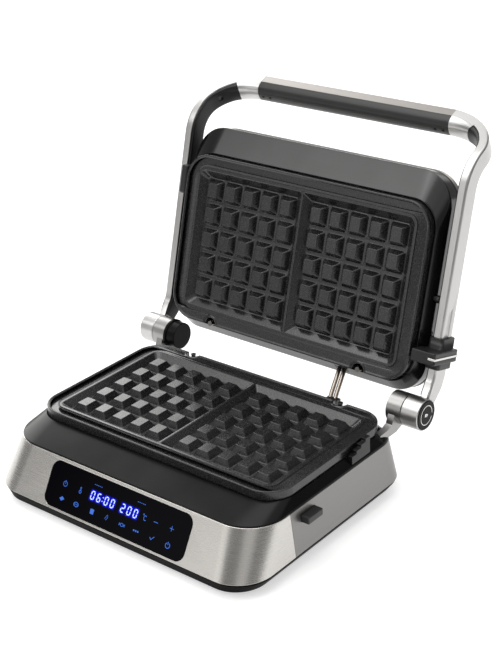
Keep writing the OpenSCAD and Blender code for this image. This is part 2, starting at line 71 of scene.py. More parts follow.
# Outlines about the plate centre, in mm: half width, front, rear, front radius, rear radius
BEZEL_IN = (145.9, -85.9, 85.9, 26.9, 26.9)
BAND_TOP = (152, -118.6, 93, 37.5, 27)
BAND_LOW = (157, -142.5, 100, 36, 27)
TRAY_LOW = (151, -139.5, 95, 31, 24)
BAND_TOP_Z, BAND_LOW_Z, TRAY_LOW_Z, BEZEL_IN_Z = -17.8, -59.4, -70, -7.5
SEAM_Y, BAND_T = -74, 1.2
LID_EDGE = (152, -112.7, 96.6, 34, 30)
LID_SIDE = (151, -111.5, 96.6, 33, 30)
LID_TOP = (148, -108.5, 94, 31, 27)
SLOPE = math.atan2(BAND_TOP_Z - BAND_LOW_Z, BAND_TOP[1] - BAND_LOW[1])
PANEL = BASE @ Matrix.Translation((0, BAND_TOP[1], BAND_TOP_Z)) @ Matrix.Rotation(SLOPE, 4, "X")


# ---------------------------------------------------------------- outline helpers, angles in degrees
def sn(a):
    return math.sin(math.radians(a))


def cs(a):
    return math.cos(math.radians(a))


def smooth(t):
    return t * t * (3 - 2 * t)


def arc(cx, cy, r, a0, n, sweep=90):
    return [(cx + r * cs(a0 + sweep * i / n), cy + r * sn(a0 + sweep * i / n)) for i in range(n + 1)]


def outline(o, g=0.0, n=14):
    """Outline o, g mm further in."""
    x, f, b = o[0] - g, o[1] + g, o[2] - g
    rf, rb = max(o[3] - g, 0.5), max(o[4] - g, 0.5)
    return (arc(x - rb, b - rb, rb, 0, n) + arc(rb - x, b - rb, rb, 90, n)
            + arc(rf - x, f + rf, rf, 180, n) + arc(x - rf, f + rf, rf, 270, n))


def rrect(w, d, r, n=5, cx=0.0, cy=0.0):
    """Rectangle with rounded corners."""
    return [(cx + x, cy + y) for x, y in outline((w / 2, -d / 2, d / 2, r, r), 0, n)]


# ---------------------------------------------------------------- mesh helpers
class Shape:
    """Vertices and faces of one piece, in mm in a local frame."""

    def __init__(self):
        self.v = []
        self.f = []

    def ring(self, pts):
        start = len(self.v)
        self.v += [tuple(p) for p in pts]
        return list(range(start, len(self.v)))

    def flat(self, pts, z):
        return self.ring([(p[0], p[1], z) for p in pts])

    def stack(self, levels, n=14):
        """One ring for each (outline, distance further in, height)."""
        return [self.flat(outline(o, g, n), z) for o, g, z in levels]

    def bridge(self, a, b):
        n = len(a)
        for i in range(n):
            self.f.append((a[i], a[(i + 1) % n], b[(i + 1) % n], b[i]))

    def cap(self, a):
        self.f.append(tuple(a))

    def fill(self, outer, holes):
        loops = [outer] + holes
        order = [i for loop in loops for i in loop]
        for t in tessellate_polygon([[Vector(self.v[i]) for i in loop] for loop in loops]):
            self.f.append(tuple(order[k] for k in t))

    def loft(self, rings, closed=False, caps=True):
        for a, b in zip(rings, rings[1:]):
            self.bridge(a, b)
        if closed:
            self.bridge(rings[-1], rings[0])
        elif caps:
            self.cap(rings[0])
            self.cap(rings[-1])
        return self


def finish_mesh(bm, bevel, segments, angle, sharp):
    bmesh.ops.remove_doubles(bm, verts=bm.verts, dist=2e-6)
    bmesh.ops.dissolve_degenerate(bm, dist=1e-7, edges=bm.edges)
    bmesh.ops.recalc_face_normals(bm, faces=bm.faces)
    if bevel:
        edges = [e for e in bm.edges
                 if len(e.link_faces) == 2 and e.calc_face_angle(0) > math.radians(angle)]
        bmesh.ops.bevel(bm, geom=edges, offset=bevel * 0.001, offset_type="OFFSET", segments=segments,
                        profile=0.5, affect="EDGES", clamp_overlap=True)
    for f in bm.faces:
        f.smooth = True
    for e in bm.edges:
        e.smooth = not (len(e.link_faces) == 2 and e.calc_face_angle(0) > math.radians(sharp))


def add(name, bm, mat, body, nodes=(), weighted=True):
    mesh = bpy.data.meshes.new(name)
    bm.to_mesh(mesh)
    bm.free()
    obj = bpy.data.objects.new(name, mesh)
    scene.collection.objects.link(obj)
    for m in (mat if isinstance(mat, (list, tuple)) else [mat]):
        mesh.materials.append(m)
    if weighted:
        w = obj.modifiers.new("weighted", "WEIGHTED_NORMAL")
        w.weight = 60
        w.keep_sharp = True
    if body:
        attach(obj, body)
    if nodes:
        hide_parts(*nodes)
    return obj


def piece(name, shape, place, mat, body, nodes=(), bevel=0.0, segments=3, angle=25, sharp=45):
    mesh = bpy.data.meshes.new("tmp")
    mesh.from_pydata([place @ Vector(p) for p in shape.v], [], shape.f)
    bm = bmesh.new()
    bm.from_mesh(mesh)
    bpy.data.meshes.remove(mesh)
    finish_mesh(bm, bevel, segments, angle, sharp)
    return add(name, bm, mat, body, nodes)


def refined(name, node, mat, body, bevel=0.5, segments=3, angle=25, sharp=40):
    """A CAD node's own solid with its edges rounded over."""
    bm = bmesh.new()
    bm.from_mesh(NODES[node].data)
    bmesh.ops.remove_doubles(bm, verts=bm.verts, dist=2e-6)
    bmesh.ops.dissolve_limit(bm, angle_limit=math.radians(0.8), verts=bm.verts, edges=bm.edges)
    finish_mesh(bm, bevel, segments, angle, sharp)
    return add(name, bm, mat, body, (node,))


def cut(obj, shape, place, op="DIFFERENCE"):
    """Cuts a closed shape out of a piece, or joins it on."""
    mesh = bpy.data.meshes.new("cutter")
    mesh.from_pydata([place @ Vector(p) for p in shape.v], [], shape.f)
    bm = bmesh.new()
    bm.from_mesh(mesh)
    finish_mesh(bm, 0, 1, 30, 45)
    bm.to_mesh(mesh)
    bm.free()
    tool = bpy.data.objects.new("cutter", mesh)
    scene.collection.objects.link(tool)
    keep = [(m.name, m.type) for m in obj.modifiers]
    for m in list(obj.modifiers):
        obj.modifiers.remove(m)
    b = obj.modifiers.new("cut", "BOOLEAN")
    b.operation = op
    b.solver = "EXACT"
    b.object = tool
    bpy.context.view_layer.update()
    got = bpy.data.meshes.new_from_object(obj.evaluated_get(bpy.context.evaluated_depsgraph_get()))
    obj.modifiers.remove(b)
    old = obj.data
    got.name = old.name + "_cut"
    obj.data = got
    bpy.data.meshes.remove(old)
    bpy.data.objects.remove(tool)
    bpy.data.meshes.remove(mesh)
    if keep:
        w = obj.modifiers.new("weighted", "WEIGHTED_NORMAL")
        w.weight = 60
        w.keep_sharp = True
    return obj


def prism(pts, z0, z1):
    s = Shape()
    return s.loft([s.flat(pts, z0), s.flat(pts, z1)])


def rod(x0, x1, r, y=0.0, z=0.0, n=64, edge=0.0):
    """Rod along X with rounded rims."""
    s = Shape()
    prof = [(x0, r - edge)] + [(x0 + edge * (1 - math.cos(t)), r - edge + edge * math.sin(t))
                               for t in [math.pi / 8 * k for k in range(1, 5)]] if edge else [(x0, r)]
    tail = [(x0 + x1 - p[0], p[1]) for p in reversed(prof)]
    rings = [s.ring([(x, y + q * math.cos(2 * math.pi * i / n), z + q * math.sin(2 * math.pi * i / n))
                     for i in range(n)]) for x, q in prof + tail]
    return s.loft(rings)


# ---------------------------------------------------------------- materials
def new_mat(name, colour, rough, metal=0.0, spec=0.5):
    m = bpy.data.materials.new(name)
    m.use_nodes = True
    nt = m.node_tree
    nt.nodes.clear()
    out = nt.nodes.new("ShaderNodeOutputMaterial")
    b = nt.nodes.new("ShaderNodeBsdfPrincipled")
    nt.links.new(b.outputs[0], out.inputs[0])
    b.inputs["Base Color"].default_value = (*colour, 1)
    b.inputs["Roughness"].default_value = rough
    b.inputs["Metallic"].default_value = metal
    b.inputs["Specular IOR Level"].default_value = spec
    m.diffuse_color = (*colour, 1)
    return m, nt, b


def coords(nt, scale):
    tc = nt.nodes.new("ShaderNodeTexCoord")
    mp = nt.nodes.new("ShaderNodeMapping")
    mp.inputs["Scale"].default_value = scale
    nt.links.new(tc.outputs["Object"], mp.inputs["Vector"])
    return mp.outputs[0]


def noise(nt, vec, scale, detail=2.0, rough=0.5):
    n = nt.nodes.new("ShaderNodeTexNoise")
    n.inputs["Scale"].default_value = scale
    n.inputs["Detail"].default_value = detail
    n.inputs["Roughness"].default_value = rough
    nt.links.new(vec, n.inputs["Vector"])
    return n.outputs["Fac"]


def remap(nt, fac, lo, hi, a=0.3, b=0.7):
    r = nt.nodes.new("ShaderNodeMapRange")
    r.inputs["From Min"].default_value = a
    r.inputs["From Max"].default_value = b
    r.inputs["To Min"].default_value = lo
    r.inputs["To Max"].default_value = hi
    nt.links.new(fac, r.inputs["Value"])
    return r.outputs[0]


def two(nt, fac, c1, c2):
    m = nt.nodes.new("ShaderNodeMix")
    m.data_type = "RGBA"
    m.inputs[6].default_value = (*c1, 1)
    m.inputs[7].default_value = (*c2, 1)
    nt.links.new(fac, m.inputs[0])
    return m.outputs[2]


def bump(nt, b, height, strength, distance):
    n = nt.nodes.new("ShaderNodeBump")
    n.inputs["Strength"].default_value = strength
    n.inputs["Distance"].default_value = distance
    nt.links.new(height, n.inputs["Height"])
    nt.links.new(n.outputs[0], b.inputs["Normal"])


def brushed(name, colour, rough, along=(40, 40, 3200), depth=0.06):
    """Fine streaks drawn out along the sheet, with slow changes of tone."""
    m, nt, b = new_mat(name, colour, rough, 1.0)
    streak = noise(nt, coords(nt, along), 1.0, 3.0, 0.6)
    cloud = noise(nt, coords(nt, (9, 9, 9)), 1.0, 2.0)
    lo = tuple(c * 0.95 for c in colour)
    hi = tuple(min(1, c * 1.04) for c in colour)
    nt.links.new(two(nt, remap(nt, streak, 0, 1), lo, hi), b.inputs["Base Color"])
    mix = nt.nodes.new("ShaderNodeMath")
    mix.operation = "ADD"
    nt.links.new(remap(nt, streak, rough - 0.025, rough + 0.025), mix.inputs[0])
    nt.links.new(remap(nt, cloud, -0.015, 0.015), mix.inputs[1])
    nt.links.new(mix.outputs[0], b.inputs["Roughness"])
    bump(nt, b, streak, depth, 0.0002)
    return m


def grained(name, colour, rough, metal=0.0, spec=0.5, size=2200, depth=0.1, spread=0.12):
    """Moulded or blasted surface: fine grain, faint handling variation."""
    m, nt, b = new_mat(name, colour, rough, metal, spec)
    grain = noise(nt, coords(nt, (size, size, size)), 1.0, 2.0, 0.6)
    cloud = noise(nt, coords(nt, (22, 22, 22)), 1.0, 3.0)
    lo = tuple(c * (1 - spread) for c in colour)
    hi = tuple(min(1, c * (1 + spread)) for c in colour)
    nt.links.new(two(nt, remap(nt, cloud, 0, 1), lo, hi), b.inputs["Base Color"])
    nt.links.new(remap(nt, cloud, rough - 0.04, rough + 0.04), b.inputs["Roughness"])
    bump(nt, b, grain, depth, 0.0001)
    return m


STEEL = brushed("brushed_steel_front", (0.55, 0.535, 0.51), 0.26)
# Painted shade: the side band is the same brushed steel as the front panel, its colour painted darker to
# stand in for the dimmer reflection it shows
SIDE_STEEL_SHADED = brushed("brushed_steel_side_painted_shade", (0.24, 0.235, 0.232), 0.36)
STEEL_LID = brushed("brushed_steel_lid", (0.40, 0.38, 0.36), 0.34, (26, 2600, 26))
RAIL = brushed("brushed_rail", (0.30, 0.285, 0.27), 0.32, (26, 2600, 2600))
ALU = grained("satin_aluminium", (0.50, 0.495, 0.49), 0.32, 1.0, size=2600, depth=0.08, spread=0.02)
BARREL = grained("turned_aluminium", (0.32, 0.315, 0.31), 0.32, 1.0, size=2600, depth=0.06, spread=0.02)
PLAIN = grained("plain_steel", (0.55, 0.53, 0.50), 0.33, 1.0, size=900, depth=0.08, spread=0.08)
PIN = grained("dull_pin", (0.16, 0.15, 0.14), 0.30, 1.0, size=900, depth=0.05, spread=0.05)
TUBE = grained("conduit_metal", (0.33, 0.29, 0.25), 0.26, 1.0, size=700, depth=0.1, spread=0.12)
TRIM = grained("satin_trim", (0.62, 0.61, 0.60), 0.25, 1.0, size=900, depth=0.04, spread=0.03)
GLOSS = grained("gloss_black", (0.005, 0.005, 0.0052), 0.15, size=1400, depth=0.015, spread=0.2)
BEZEL = grained("bezel_black", (0.003, 0.003, 0.0032), 0.22, spec=0.14, size=1400, depth=0.03, spread=0.15)
CAP = grained("cap_black", (0.004, 0.004, 0.0042), 0.34, spec=0.08, size=1400, depth=0.03, spread=0.15)
TRAY = grained("tray_black", (0.005, 0.005, 0.0052), 0.45, spec=0.03, size=1400, depth=0.08, spread=0.15)
BLACK = grained("satin_black", (0.007, 0.007, 0.0073), 0.42, size=2600, depth=0.12, spread=0.15)
GRIP = grained("grip_black", (0.008, 0.008, 0.008), 0.38, size=2400, depth=0.16, spread=0.15)
RACK = grained("rack_plastic", (0.010, 0.010, 0.010), 0.22, spec=0.3, size=900, depth=0.15, spread=0.3)
LINING = grained("liner_black", (0.006, 0.006, 0.0063), 0.45, spec=0.35, size=2600, depth=0.1, spread=0.15)
SCREW = grained("dark_screw", (0.05, 0.048, 0.046), 0.30, 1.0, size=900, depth=0.08, spread=0.2)
RUBBER = grained("rubber", (0.018, 0.018, 0.018), 0.7, size=1500, depth=0.2)
BOARD = grained("circuit_board", (0.03, 0.16, 0.07), 0.4, size=700, depth=0.1, spread=0.3)
CERAMIC = grained("ceramic", (0.80, 0.76, 0.68), 0.6, size=900, depth=0.15)
HEATER = grained("heater_sheath", (0.30, 0.28, 0.26), 0.45, 0.8, size=900, depth=0.1, spread=0.25)
REFLECTOR = grained("reflector", (0.72, 0.72, 0.72), 0.28, 1.0, size=300, depth=0.1, spread=0.05)

PANEL_GLASS, nt, b = new_mat("panel_glass", (0.001, 0.001, 0.002), 0.05, spec=0.04)
cloud = noise(nt, coords(nt, (30, 30, 30)), 1.0, 2.0)
nt.links.new(remap(nt, cloud, 0.04, 0.07), b.inputs["Roughness"])

NONSTICK, nt, b = new_mat("nonstick", (0.005, 0.005, 0.0053), 0.22, 0.0, 0.6)
grain = noise(nt, coords(nt, (1500, 1500, 1500)), 1.0, 2.0, 0.6)
fleck = nt.nodes.new("ShaderNodeTexVoronoi")
fleck.inputs["Scale"].default_value = 2400
nt.links.new(coords(nt, (1, 1, 1)), fleck.inputs["Vector"])
cloud = noise(nt, coords(nt, (25, 25, 25)), 1.0, 3.0)
split = nt.nodes.new("ShaderNodeSeparateColor")
nt.links.new(fleck.outputs["Color"], split.inputs[0])
speckle = two(nt, remap(nt, split.outputs[0], 0, 1, 0.80, 0.97),
              (0.0065, 0.0065, 0.007), (0.05, 0.05, 0.055))
nt.links.new(speckle, b.inputs["Base Color"])
add_r = nt.nodes.new("ShaderNodeMath")
add_r.operation = "ADD"
nt.links.new(remap(nt, cloud, 0.17, 0.22), add_r.inputs[0])
nt.links.new(remap(nt, split.outputs[1], -0.05, 0.10, 0, 1), add_r.inputs[1])
nt.links.new(add_r.outputs[0], b.inputs["Roughness"])
bump(nt, b, grain, 0.25, 0.0001)


def lit(name, colour, strength, base=(0.01, 0.01, 0.02)):
    m, nt, b = new_mat(name, base, 0.3)
    soft = noise(nt, coords(nt, (900, 900, 900)), 1.0, 1.0)
    dim = tuple(c * 0.86 for c in colour)
    nt.links.new(two(nt, remap(nt, soft, 0, 1), dim, colour), b.inputs["Emission Color"])
    b.inputs["Emission Strength"].default_value = strength
    return m


DIGIT = lit("display_digits", (0.55, 0.70, 1.0), 1.6)
ICON = lit("panel_icons", (0.03, 0.18, 0.85), 0.85)
LED = lit("led_block", (0.1, 0.2, 1.0), 0.3)
GLOW, nt, b = new_mat("display_glow", (0.001, 0.001, 0.002), 0.05, spec=0.04)
att = nt.nodes.new("ShaderNodeAttribute")
att.attribute_name = "glow"
nt.links.new(att.outputs["Color"], b.inputs["Emission Color"])
b.inputs["Emission Strength"].default_value = 1.0

# ---------------------------------------------------------------- base shell
s = Shape()
band = s.loft(s.stack(((BAND_LOW, 0, BAND_LOW_Z), (BAND_TOP, 0, BAND_TOP_Z), (BAND_TOP, BAND_T, BAND_TOP_Z),
                       (BAND_LOW, BAND_T, BAND_LOW_Z)), 20), closed=True)


def band_part(name, front, mat, node):
    mesh = bpy.data.meshes.new("tmp")
    mesh.from_pydata([Vector(p) for p in band.v], [], band.f)
    bm = bmesh.new()
    bm.from_mesh(mesh)
    bpy.data.meshes.remove(mesh)
    y = SEAM_Y - 0.15 if front else SEAM_Y + 0.15
    got = bmesh.ops.bisect_plane(bm, geom=bm.verts[:] + bm.edges[:] + bm.faces[:], plane_co=(0, y, 0),
                                 plane_no=(0, 1, 0), clear_outer=front, clear_inner=not front)
    edges = [e for e in got["geom_cut"] if isinstance(e, bmesh.types.BMEdge)]
    bmesh.ops.holes_fill(bm, edges=edges, sides=0)
    bm.transform(BASE)
    finish_mesh(bm, 0.45, 3, 40, 50)
    return add(name, bm, mat, "base", (node,))


front = band_part("front_panel_steel", True, STEEL, "front_band")
side = band_part("side_steel", False, SIDE_STEEL_SHADED, "side_band")
GLASS_W, GLASS_D, GLASS_Y = 170, 42, -24.4
cut(front, prism(rrect(GLASS_W + 0.9, GLASS_D + 0.9, 9.4, 10, 0, GLASS_Y), -8, 8), PANEL)
BUTTON_LO, BUTTON_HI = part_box("lower_button")
by = (BUTTON_LO.y + BUTTON_HI.y) / 2 * 1000 - PLATE.y * 1000
bz = (BUTTON_LO.z + BUTTON_HI.z) / 2 * 1000 - PLATE.z * 1000
hole = Shape()
hole.loft([hole.ring([(x, p[0] + by, p[1] + bz) for p in rrect(21.6, 7.8, 1.4, 4)]) for x in (140, 170)])
cut(side, hole, BASE)
gland_lo, gland_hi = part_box("cord_gland")
gx, gz = (gland_lo.x + gland_hi.x) * 500, (gland_lo.z + gland_hi.z) * 500 - PLATE.z * 1000
hole = Shape()
hole.loft([hole.ring([(p[0], y, p[1]) for p in arc(gx, gz, 7, 0, 40, 360)[:-1]]) for y in (84, 104)])
cut(side, hole, BASE)

s = Shape()
s.loft(s.stack(((BAND_TOP, 1.6, BAND_TOP_Z - 7), (BAND_TOP, 1.6, BAND_TOP_Z + 0.4),
                (BAND_TOP, 0.5, BAND_TOP_Z + 0.4), (BAND_TOP, 0.3, BAND_TOP_Z + 1.4),
                (BEZEL_IN, 0, BEZEL_IN_Z), (BEZEL_IN, 0.05, BEZEL_IN_Z - 4),
                (BAND_TOP, 3.6, BAND_TOP_Z - 7))), closed=True)
bezel = piece("top_bezel_moulding", s, BASE, BEZEL, "base", ("top_bezel",), 0.55, 3, 28)
rack_lo, rack_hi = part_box("height_rack")
y0, y1 = (rack_lo.y - PLATE.y) * 1000 - 0.4, (rack_hi.y - PLATE.y) * 1000 + 0.4
cut(bezel, prism([(146.3, y0), (153, y0), (153, y1), (146.3, y1)], -14.4, 4), BASE)
BRACKET_IN, BRACKET_OUT, BRACKET_Y = 140.2, 147.8, HINGE_DY - 38.3
for sx in (1, -1):
    cut(bezel, prism([(sx * BRACKET_IN, BRACKET_Y), (sx * BRACKET_OUT, BRACKET_Y), (sx * BRACKET_OUT, 110),
                      (sx * BRACKET_IN, 110)], -21.7, 6), BASE)
cut(bezel, prism([(66.5, 84), (81.5, 84), (81.5, 100), (66.5, 100)], -20.8, 4), BASE)

s = Shape()
outer = s.stack(((BAND_LOW, 2.0, BAND_LOW_Z - 0.3), (BAND_LOW, 1.2, BAND_LOW_Z - 2.2),
                 (BAND_LOW, 2.0, BAND_LOW_Z - 3.4), (TRAY_LOW, 0.8, TRAY_LOW_Z + 0.6),
                 (TRAY_LOW, 2.4, TRAY_LOW_Z), (TRAY_LOW, 9.0, TRAY_LOW_Z)))
s.loft(outer, caps=False)
s.cap(outer[-1])
top, low = s.stack(((BAND_LOW, 8.5, BAND_LOW_Z - 0.3), (TRAY_LOW, 6.0, TRAY_LOW_Z + 2.4)))
s.bridge(top, outer[0])
s.bridge(low, top)
s.cap(low)
tray = piece("base_tray_moulding", s, BASE, TRAY, "base", ("base_tray",), 0.0)
# Vent slots
for i in range(-6, 7):
    cut(tray, prism(rrect(3, 60, 1.4, 3, i * 9, -20), TRAY_LOW_Z - 3, TRAY_LOW_Z + 5), BASE)

# ---------------------------------------------------------------- control panel
GLASS_Z = 0.4
s = Shape()
s.loft([s.flat(rrect(GLASS_W - 2 * g, GLASS_D - 2 * g, 9 - g, 10, 0, GLASS_Y), z)
        for g, z in ((0, -2.2), (0, 0.12), (0.12, 0.3), (0.35, GLASS_Z))])
piece("touch_panel_glass", s, PANEL, PANEL_GLASS, "base", ("control_glass",))

DIGIT_Z, ICON_Z, GLOW_Z = 0.47, 0.46, 0.43        # tops of what lies on the glass
SEGMENTS = {"0": "abcdef", "2": "abged", "6": "acdefg"}
DIG_W, DIG_H, DIG_T, LEAN = 4.5, 8.2, 0.95, 0.10
DISPLAY_Y = -21.2


def bar(cx, cy, dx, dy, t):
    """Outline of a display segment: a bar with pointed ends."""
    length = math.hypot(dx, dy)
    ux, uy = dx / length, dy / length
    half = length / 2 - 0.25
    pts = [(-half, 0), (-half + t / 2, t / 2), (half - t / 2, t / 2),
           (half, 0), (half - t / 2, -t / 2), (-half + t / 2, -t / 2)]
    return [(cx + ux * p - uy * q, cy + uy * p + ux * q) for p, q in pts]


def digit(ch, x):
    w, h = DIG_W - DIG_T, DIG_H - DIG_T
    spots = {"a": (0, h / 2, w, 0), "g": (0, 0, w, 0), "d": (0, -h / 2, w, 0),
             "f": (-w / 2, h / 4, 0, h / 2), "b": (w / 2, h / 4, 0, h / 2),
             "e": (-w / 2, -h / 4, 0, h / 2), "c": (w / 2, -h / 4, 0, h / 2)}
    return [[(x + px + LEAN * py, DISPLAY_Y + py) for px, py in bar(*spots[k], DIG_T)]
            for k in SEGMENTS[ch]]


segs = []
for ch, x in (("0", -29.4), ("6", -21.8), ("0", -12.6), ("0", -5.2), ("2", 7.6), ("0", 15.2), ("0", 22.8)):
    segs += digit(ch, x)
for y in (-1.7, 1.7):
    segs.append([(px - 17.1 + LEAN * y, py + DISPLAY_Y + y) for px, py in rrect(1.1, 1.1, 0.3, 1)])
s = Shape()
for pts in segs:
    s.loft([s.flat(pts, GLASS_Z), s.flat(pts, DIGIT_Z)])
piece("display_digits", s, PANEL, DIGIT, "base", ())

# Soft light round the digits, as brightness on a fine grid
s = Shape()
gx0, gx1, gy0, gy1, step = -35.0, 29.0, DISPLAY_Y - 6.8, DISPLAY_Y + 6.8, 0.45
nx, ny = int((gx1 - gx0) / step), int((gy1 - gy0) / step)
mids = []
for pts in segs:
    a, c = Vector(pts[0]), Vector(pts[3])
    if len(pts) > 6:
        a = c = (Vector(pts[0]) + Vector(pts[-1])) / 2
    mids.append((a, c))


def near(p):
    """Light from all segments at p, falling off over a millimetre or so."""
    total = 0.0
    for a, c in mids:
        d = c - a
        t = 0 if d.length_squared < 1e-9 else max(0, min(1, (p - a).dot(d) / d.length_squared))
        total += math.exp(-((p - a - d * t).length / 1.25) ** 2)
    return total


top = []
for j in range(ny + 1):
    y = gy0 + (gy1 - gy0) * j / ny
    top.append(s.ring([(gx0 + (gx1 - gx0) * i / nx, y, GLOW_Z) for i in range(nx + 1)]))
for j in range(ny):
    for i in range(nx):
        s.f.append((top[j][i], top[j][i + 1], top[j + 1][i + 1], top[j + 1][i]))
rim = [top[0][i] for i in range(nx + 1)] + [top[j][nx] for j in range(1, ny + 1)] + \
      [top[ny][i] for i in range(nx - 1, -1, -1)] + [top[j][0] for j in range(ny - 1, 0, -1)]
under = s.ring([(s.v[i][0], s.v[i][1], GLASS_Z - 0.01) for i in rim])
s.bridge(under, rim)
s.cap(under)
values = [min(1.0, near(Vector(p[:2]))) for p in s.v]
mesh = bpy.data.meshes.new("display_glow")
mesh.from_pydata([PANEL @ Vector(p) for p in s.v], [], s.f)
glow = mesh.color_attributes.new("glow", "FLOAT_COLOR", "POINT")
for i, v in enumerate(values):
    px, py = s.v[i][:2]
    edge = min(1, (px - gx0) / 2, (gx1 - px) / 2, (py - gy0) / 2, (gy1 - py) / 2)
    v *= max(0, edge)
    glow.data[i].color = (0.012 * v * v, 0.02 * v * v, 0.85 * v, 1)
obj = bpy.data.objects.new("display_glow", mesh)
scene.collection.objects.link(obj)
mesh.materials.append(GLOW)
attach(obj, "base")

# Symbols, drawn as thin raised strokes
icons = Shape()


def flat_shape(pts):
    icons.loft([icons.flat(pts, GLASS_Z), icons.flat(pts, ICON_Z)])


def stroke(x, y, pts, t=0.5):
    """Line of thickness t along pts, drawn about x, y."""
    for (ax, ay), (bx, b_y) in zip(pts, pts[1:]):
        dx, dy = bx - ax, b_y - ay
        n = math.hypot(dx, dy) or 1
        ox, oy = -dy / n * t / 2, dx / n * t / 2
        ex, ey = dx / n * t * 0.2, dy / n * t * 0.2
        p0, p1 = (x + ax - ex, y + ay - ey), (x + bx + ex, y + b_y + ey)
        flat_shape([(px + way * ox, py + way * oy)
                    for (px, py), way in ((p0, 1), (p1, 1), (p1, -1), (p0, -1))])


def ring_icon(x, y, r, a0, sweep, t=0.5, sx=1.0, n=22):
    out = [(x + sx * px, y + py) for px, py in arc(0, 0, r + t / 2, a0, n, sweep)]
    inn = [(x + sx * px, y + py) for px, py in arc(0, 0, r - t / 2, a0, n, sweep)]
    if abs(sweep) >= 360:
        levels = ((out, GLASS_Z), (out, ICON_Z), (inn, ICON_Z), (inn, GLASS_Z))
        icons.loft([icons.flat(pts[:-1], z) for pts, z in levels], closed=True)
    else:
        flat_shape(out + inn[::-1])


ROW1, ROW2 = -20.8, -35.2
ring_icon(-64.2, ROW1 - 0.6, 2.3, 0, 360)                                       # clock
stroke(-64.2, ROW1 - 0.6, [(0, 1.2), (0, -0.1)], 0.45)
stroke(-64.2, ROW1 - 0.6, [(0, 3.2), (0, 2.5)], 0.6)
stroke(-44.8, ROW1 - 0.4, [(-0.55, -0.6), (-0.55, 2.6), (0.55, 2.6), (0.55, -0.6)], 0.4)   # thermometer
ring_icon(-44.8, ROW1 - 2.1, 1.25, 0, 360, 0.6)
ring_icon(32.2, ROW1 + 2.0, 0.6, 0, 360, 0.4, n=10)                             # degrees C
ring_icon(34.6, ROW1 - 0.6, 2.1, 50, 260, 0.6, 0.8)
stroke(47.0, ROW1 - 0.3, [(-2.2, 0), (2.2, 0)], 0.55)                           # minus
stroke(65.3, ROW1 + 0.1, [(-2.2, 0), (2.2, 0)], 0.55)                           # plus
stroke(65.3, ROW1 + 0.1, [(0, -2.2), (0, 2.2)], 0.55)
WAFFLE = ((-3.1, -0.2), (-0.2, -2.1), (3.1, 0.3), (0.2, 2.1))
flat_shape([(-63.6 + a, ROW2 + c) for a, c in WAFFLE])                          # waffle
ring_icon(-45.4, ROW2 + 0.2, 2.0, 0, 360, 0.55, 1.35)                           # toasted sandwich
stroke(-45.4, ROW2 + 0.2, [(-2.6, -0.4), (-0.6, 0.3), (0.8, -0.3), (2.6, 0.4)], 0.5)
SLICE = ((-2.1, -2.2), (2.1, -2.2), (2.1, 0.7), (2.5, 1.6), (1.5, 2.5), (-1.5, 2.5), (-2.5, 1.6),
         (-2.1, 0.7))
flat_shape([(-25.3 + a, ROW2 + c) for a, c in SLICE])                           # bread
ring_icon(-9.2, ROW2 + 1.6, 3.9, -62, 70, 0.45, 0.8)                            # frankfurter
ring_icon(-10.3, ROW2 + 1.9, 3.1, -66, 74, 0.45, 0.8)
stroke(-7.7, ROW2 + 0.4, [(0.6, 1.6), (1.2, 2.7)], 0.5)
ring_icon(11.6, ROW2, 1.35, 0, 360, 0.5, 1.25)                                  # wrapped sweet
for k in (-1, 1):
    stroke(11.6, ROW2, [(1.9 * k, 0), (3.2 * k, 1.1), (3.2 * k, -1.1), (1.9 * k, 0)], 0.4)
for k in (-1, 0, 1):                                                            # three dots
    ring_icon(28.4 + 2.4 * k, ROW2, 0.55, 0, 360, 0.7, n=10)
stroke(47.3, ROW2, [(-2.3, 0.1), (-0.7, -1.6), (2.4, 1.7)], 0.6)                # tick to confirm
ring_icon(65.9, ROW2 - 0.4, 2.4, 118, 304, 0.6)                                 # power
stroke(65.9, ROW2 - 0.2, [(0, 0.4), (0, 3.0)], 0.6)
for cx, cy in ((-25.9, -11.2), (26.4, -10.4)):                                  # marks over the display
    for k in range(-2, 3):
        stroke(cx + k * 2.0, cy, [(-0.5, 0), (0.5, 0)], 0.55)
piece("panel_symbols", icons, PANEL, ICON, "base", ())


# ---------------------------------------------------------------- waffle plates
PLATE_W, PLATE_D, PLATE_R = 145.0, 85.0, 26.0                 # half width, half depth, corner radius
NOTCH_X, NOTCH_R, NOTCH_FLARE = 91.5, 7.0, 2.2
FLOOR_Z, BLOCK_X0, PITCH_X, PITCH_Y = -6.5, 18.4, 23, 25.3
FOOT_W, FOOT_D, CROWN_W, CROWN_D = 19.0, 21.0, 11.3, 14.0     # size of a block at its foot and its top
# Distance out from the cavity's floor, corner radius, height
CAVITY_WALL = ((7.5, 7.2, 0.0), (6.95, 6.8, -0.1), (6.55, 6.5, -0.4), (0.75, 4.6, -5.9),
               (0.35, 4.3, -6.25), (-0.2, 4.0, FLOOR_Z))
# Half width, half depth, corner radius, height
CHANNEL = ((135, 75, 17, -0.45), (131.6, 72.7, 10.5, -0.85), (131.2, 72.3, 10.1, 0.0))
# Distance in from the plate's outline, height
LIP_PROFILE = ((3.0, -9.0), (0.35, -9.0), (0.0, -8.6), (0.0, 0.25), (0.12, 0.75), (0.5, 1.05), (1.0, LIP),
               (1.6, 1.05), (2.05, 0.8), (2.35, 0.45), (2.8, 0.3))


